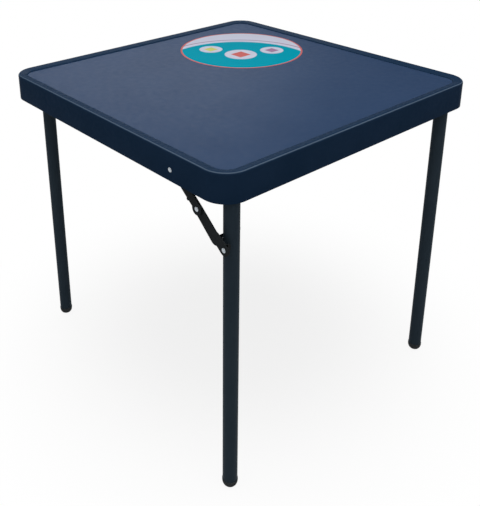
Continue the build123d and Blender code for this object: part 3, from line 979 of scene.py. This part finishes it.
# %% [markdown]
# Rivets and screws repeat, so Geometry Nodes make them: one unit shape, placed on a row of points.
# Each point carries what it needs as attributes. Both trees share a unit dome, made from a ball whose
# lower half is pressed flat, a unit pin, and the steps that finish them.

# %% Helpers for the node trees
ball_segments, ball_rings, pin_sides = 40, 24, 32
dimple_narrowness = 9.0
repeat_crease = 40


def unit_dome(tree, dimple):
    """A low dome of radius one and height one, with a dimple in its top if asked for."""
    ball = made(tree, "GeometryNodeMeshUVSphere", {
        "Segments": ball_segments, "Rings": ball_rings, "Radius": 1.0})
    axes = step(tree, "ShaderNodeSeparateXYZ", {0: made(tree, "GeometryNodeInputPosition")}).outputs
    squares = [math_step(tree, "POWER", axes[at], 2.0) for at in (0, 1)]
    bowl_narrowness = math_step(tree, "MULTIPLY", math_step(tree, "ADD", *squares), -dimple_narrowness)
    bowl = math_step(tree, "POWER", math.e, bowl_narrowness)
    left = math_step(tree, "SUBTRACT", 1.0, math_step(tree, "MULTIPLY", bowl, dimple))
    height = math_step(tree, "MULTIPLY", math_step(tree, "MAXIMUM", axes[2], 0.0), left)
    place = made(tree, "ShaderNodeCombineXYZ", {0: axes[0], 1: axes[1], 2: height})
    return made(tree, "GeometryNodeSetPosition", {"Geometry": ball, "Position": place})


def unit_pin(tree):
    """A round pin of radius one and length one, from its start along Z."""
    pin = made(tree, "GeometryNodeMeshCylinder", {"Vertices": pin_sides, "Radius": 1.0, "Depth": 1.0})
    return made(tree, "GeometryNodeTransform", {"Geometry": pin, "Translation": (0, 0, 0.5)})


def named(tree, name):
    """A vector that each point carries."""
    return made(tree, "GeometryNodeInputNamedAttribute", {"Name": name}, data_type="FLOAT_VECTOR")


def place_on(tree, points, shape, size, **more):
    """Copies of a shape on points, each at its own size."""
    return made(tree, "GeometryNodeInstanceOnPoints",
                {"Points": points, "Instance": shape, "Scale": size, **more})


def finish_tree(tree, material, parts):
    """Joins the parts, makes the copies real and gives them their material."""
    join = step(tree, "GeometryNodeJoinGeometry")
    for part in parts:
        tree.links.new(part, join.inputs[0])
    real = made(tree, "GeometryNodeRealizeInstances", {0: join.outputs[0]})
    smooth = made(tree, "GeometryNodeSetShadeSmooth", {"Geometry": real})
    dressed = made(tree, "GeometryNodeSetMaterial", {"Geometry": smooth, "Material": material})
    step(tree, "NodeGroupOutput", {0: dressed})


def made_by(tree, name, points, inputs, body, nodes):
    """Runs a tree on points with attributes, and keeps the result as a plain mesh on a body."""
    data = bpy.data.meshes.new(name)
    data.from_pydata([point["place"] for point in points], [], [])
    for label in points[0]:
        if label != "place":
            column = data.attributes.new(label, "FLOAT_VECTOR", "POINT")
            for item, point in zip(column.data, points):
                item.vector = point[label]
    piece = bpy.data.objects.new(name, data)
    bpy.context.scene.collection.objects.link(piece)
    modifier = piece.modifiers.new("repeat", "NODES")
    modifier.node_group = tree
    items = tree.interface.items_tree
    sockets = {item.name: item.identifier for item in items if item.in_out == "INPUT"}
    for label, value in inputs.items():
        modifier[sockets[label]] = value
    mesh = bpy.data.meshes.new_from_object(piece.evaluated_get(bpy.context.evaluated_depsgraph_get()))
    piece.modifiers.remove(modifier)
    piece.data = mesh
    settle(piece, repeat_crease, body, nodes)


# %% [markdown]
# A rivet is a head, a shank and a tail that was spread over the far side, with a dimple from the
# setting tool. The elbow rivet is in two halves, one on each link, because the linkage is opened
# there, so a point may also have no head or no tail.

# %% Rivets
shank_radius, dimple_depth = 2.5 * mm, 0.5


def rivet_tree():
    """Heads, shanks and tails on points that carry their axis and their sizes."""
    tree = new_tree("rivets", {"Shank Radius": ("Float", shank_radius), "Dimple": ("Float", dimple_depth),
                               "Material": ("Material", bright_zinc)})
    entry = step(tree, "NodeGroupInput").outputs
    points = made(tree, "GeometryNodeMeshToPoints", {"Mesh": entry[0]})
    axis = named(tree, "axis")
    length = made(tree, "ShaderNodeSeparateXYZ", {0: named(tree, "grip")})
    inwards = made(tree, "FunctionNodeAlignRotationToVector", {"Vector": axis}, axis="Z")
    away = made(tree, "ShaderNodeVectorMath", {0: axis, 3: -1.0}, operation="SCALE")
    outwards = made(tree, "FunctionNodeAlignRotationToVector", {"Vector": away}, axis="Z")
    reach = made(tree, "ShaderNodeVectorMath", {0: axis, 3: length}, operation="SCALE")
    far = made(tree, "GeometryNodeSetPosition", {"Geometry": points, "Offset": reach})
    thick = entry["Shank Radius"]
    shank = made(tree, "ShaderNodeCombineXYZ", {0: thick, 1: thick, 2: length})
    parts = [place_on(tree, points, unit_pin(tree), shank, Rotation=inwards)]
    for label, place, turn, dimple in (("head", points, outwards, 0.0),
                                       ("tail", far, inwards, entry["Dimple"])):
        size = named(tree, label)
        height = step(tree, "ShaderNodeSeparateXYZ", {0: size}).outputs[2]
        parts.append(place_on(tree, place, unit_dome(tree, dimple), size, Rotation=turn,
                              Selection=math_step(tree, "GREATER_THAN", height, 0.0)))
    finish_tree(tree, entry["Material"], parts)
    return tree


rivets = rivet_tree()
head_radius, head_height = 4.75 * mm, 1.4 * mm
tail_radius, tail_height = 4.0 * mm, 1.2 * mm
blind_head_height, blind_tail_radius = 2.4 * mm, 3.0 * mm


def rivet_point(node, axis, head, tail):
    """A rivet's point from its packed box: its head at the start, its tail at the far end."""
    low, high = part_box(node)
    axis = Vector(axis)
    middle, half = (low + high) / 2, (high - low) / 2
    reach = abs(half.dot(axis))
    start = middle - axis * (reach - head[1])
    return {"place": start, "axis": axis, "grip": (2 * reach - head[1] - tail[1], 0, 0),
            "head": (head[0], head[0], head[1]), "tail": (tail[0], tail[0], tail[1])}


wide, spread_tail, no_dome = (head_radius, head_height), (tail_radius, tail_height), (0.0, 0.0)
inwards_x = {"front": (1, 0, 0), "back": (-1, 0, 0)}
into_leg = {"front": (0, -1, 0), "back": (0, 1, 0)}


def set_rivets(name, body, rows):
    """One piece of rivets on a body, from rows of a rivet's node, axis, head and tail."""
    made_by(rivets, name, [rivet_point(*row) for row in rows], {"Material": bright_zinc}, body,
            [row[0] for row in rows])


set_rivets("apron_rivets", "top", [
    (f"stay_rivet_{end}", inwards, wide, spread_tail) for end, inwards in inwards_x.items()])
blind_head, blind_tail = (head_radius, blind_head_height), (blind_tail_radius, tail_height)
for end, inwards in inwards_x.items():
    set_rivets(f"{end}_bracket_rivets", f"leg_frame_{end}", [
        (f"pivot_rivet_{end}", inwards, wide, spread_tail),
        (f"bracket_rivet_{end}", into_leg[end], blind_head, blind_tail)])
    set_rivets(f"{end}_elbow_head", f"upper_link_body_{end}", [
        (f"elbow_rivet_{end}", inwards, wide, no_dome)])
    set_rivets(f"{end}_elbow_end", f"lower_link_body_{end}", [
        (f"elbow_tail_{end}", inwards, no_dome, spread_tail)])

# %% [markdown]
# The screws under the top have round heads with a cross recess. The recess is cut once, in the unit
# head, by two bars that cross, and each screw then gets a turn of its own, because no two screws
# stop at the same angle.

# %% Screws
recess_long, recess_wide, recess_depth = 1.15, 0.24, 0.9


def screw_tree():
    """Pan-head screws on points, driven upwards, each at its own angle."""
    tree = new_tree("screws", {"Head Radius": ("Float", 3.2 * mm), "Head Height": ("Float", 1.8 * mm),
                               "Shank Radius": ("Float", 1.75 * mm), "Length": ("Float", 7.5 * mm),
                               "Seed": ("Int", 7), "Material": ("Material", bright_zinc)})
    entry = step(tree, "NodeGroupInput").outputs
    points = made(tree, "GeometryNodeMeshToPoints", {"Mesh": entry[0]})
    cut = step(tree, "GeometryNodeMeshBoolean", {"Mesh 1": unit_dome(tree, 0.0)}, operation="DIFFERENCE")
    for long_x, long_y in ((recess_long, recess_wide), (recess_wide, recess_long)):
        bar = made(tree, "GeometryNodeMeshCube", {"Size": (long_x, long_y, recess_depth)})
        raised = made(tree, "GeometryNodeTransform", {"Geometry": bar, "Translation": (0, 0, recess_depth)})
        tree.links.new(raised, cut.inputs["Mesh 2"])
    wide, thin = entry["Head Radius"], entry["Shank Radius"]
    head_size = made(tree, "ShaderNodeCombineXYZ", {0: wide, 1: wide, 2: entry["Head Height"]})
    shank_size = made(tree, "ShaderNodeCombineXYZ", {0: thin, 1: thin, 2: entry["Length"]})
    angle = made(tree, "FunctionNodeRandomValue", {"Max": (0.0, 0.0, math.tau), "Seed": entry["Seed"]},
                 data_type="FLOAT_VECTOR")
    own = made(tree, "FunctionNodeEulerToRotation", {0: angle})
    upside = made(tree, "FunctionNodeEulerToRotation", {0: (math.pi, 0.0, 0.0)})
    both = made(tree, "FunctionNodeRotateRotation", {0: own, 1: upside}, rotation_space="LOCAL")
    finish_tree(tree, entry["Material"], [
        place_on(tree, points, cut.outputs[0], head_size, Rotation=both),
        place_on(tree, points, unit_pin(tree), shank_size)])
    return tree


screws = screw_tree()
screw_pitch, rail_pitch = 18 * mm, 250 * mm


def screw_rows(name, shifts, seat):
    """Places of screws in two rows along X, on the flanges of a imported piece."""
    low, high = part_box(name)
    middle = (low[0] + high[0]) / 2
    return [{"place": (middle + shift, row, seat)} for shift in shifts for row in flange_rows(name)]


def flange_rows(name):
    """The two rows of screws of a strap or a rail, midway across its flanges."""
    low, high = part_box(name)
    if name.startswith("rail"):
        edge = (high[1] - low[1] - rail_crown) / 4
        return (low[1] + edge, high[1] - edge)
    bush_low, bush_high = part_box(name.replace("strap", "bush"))
    return ((low[1] + bush_low[1] - strap_sheet) / 2, (high[1] + bush_high[1] + strap_sheet) / 2)


board_under = panel_low[2]
hinge_points = [point for name in strap_names
                for point in screw_rows(name, (-screw_pitch / 2, screw_pitch / 2), board_under - strap_sheet)]
rail_points = [point for end in ("front", "back")
               for point in screw_rows(f"rail_{end}", (-rail_pitch, 0, rail_pitch), board_under - rail_sheet)]
for name, points, seed in (("hinge_screws", hinge_points, 3), ("rail_screws", rail_points, 5)):
    made_by(screws, f"{name}_driven", points, {"Seed": seed, "Material": bright_zinc}, "top",
            [f"{name}_front", f"{name}_back"])
print("screws:", len(hinge_points) + len(rail_points))

# %% Box round the finished scene
low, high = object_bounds()
print("visual box, m:", [round(value, 4) for value in (*low, *high)])
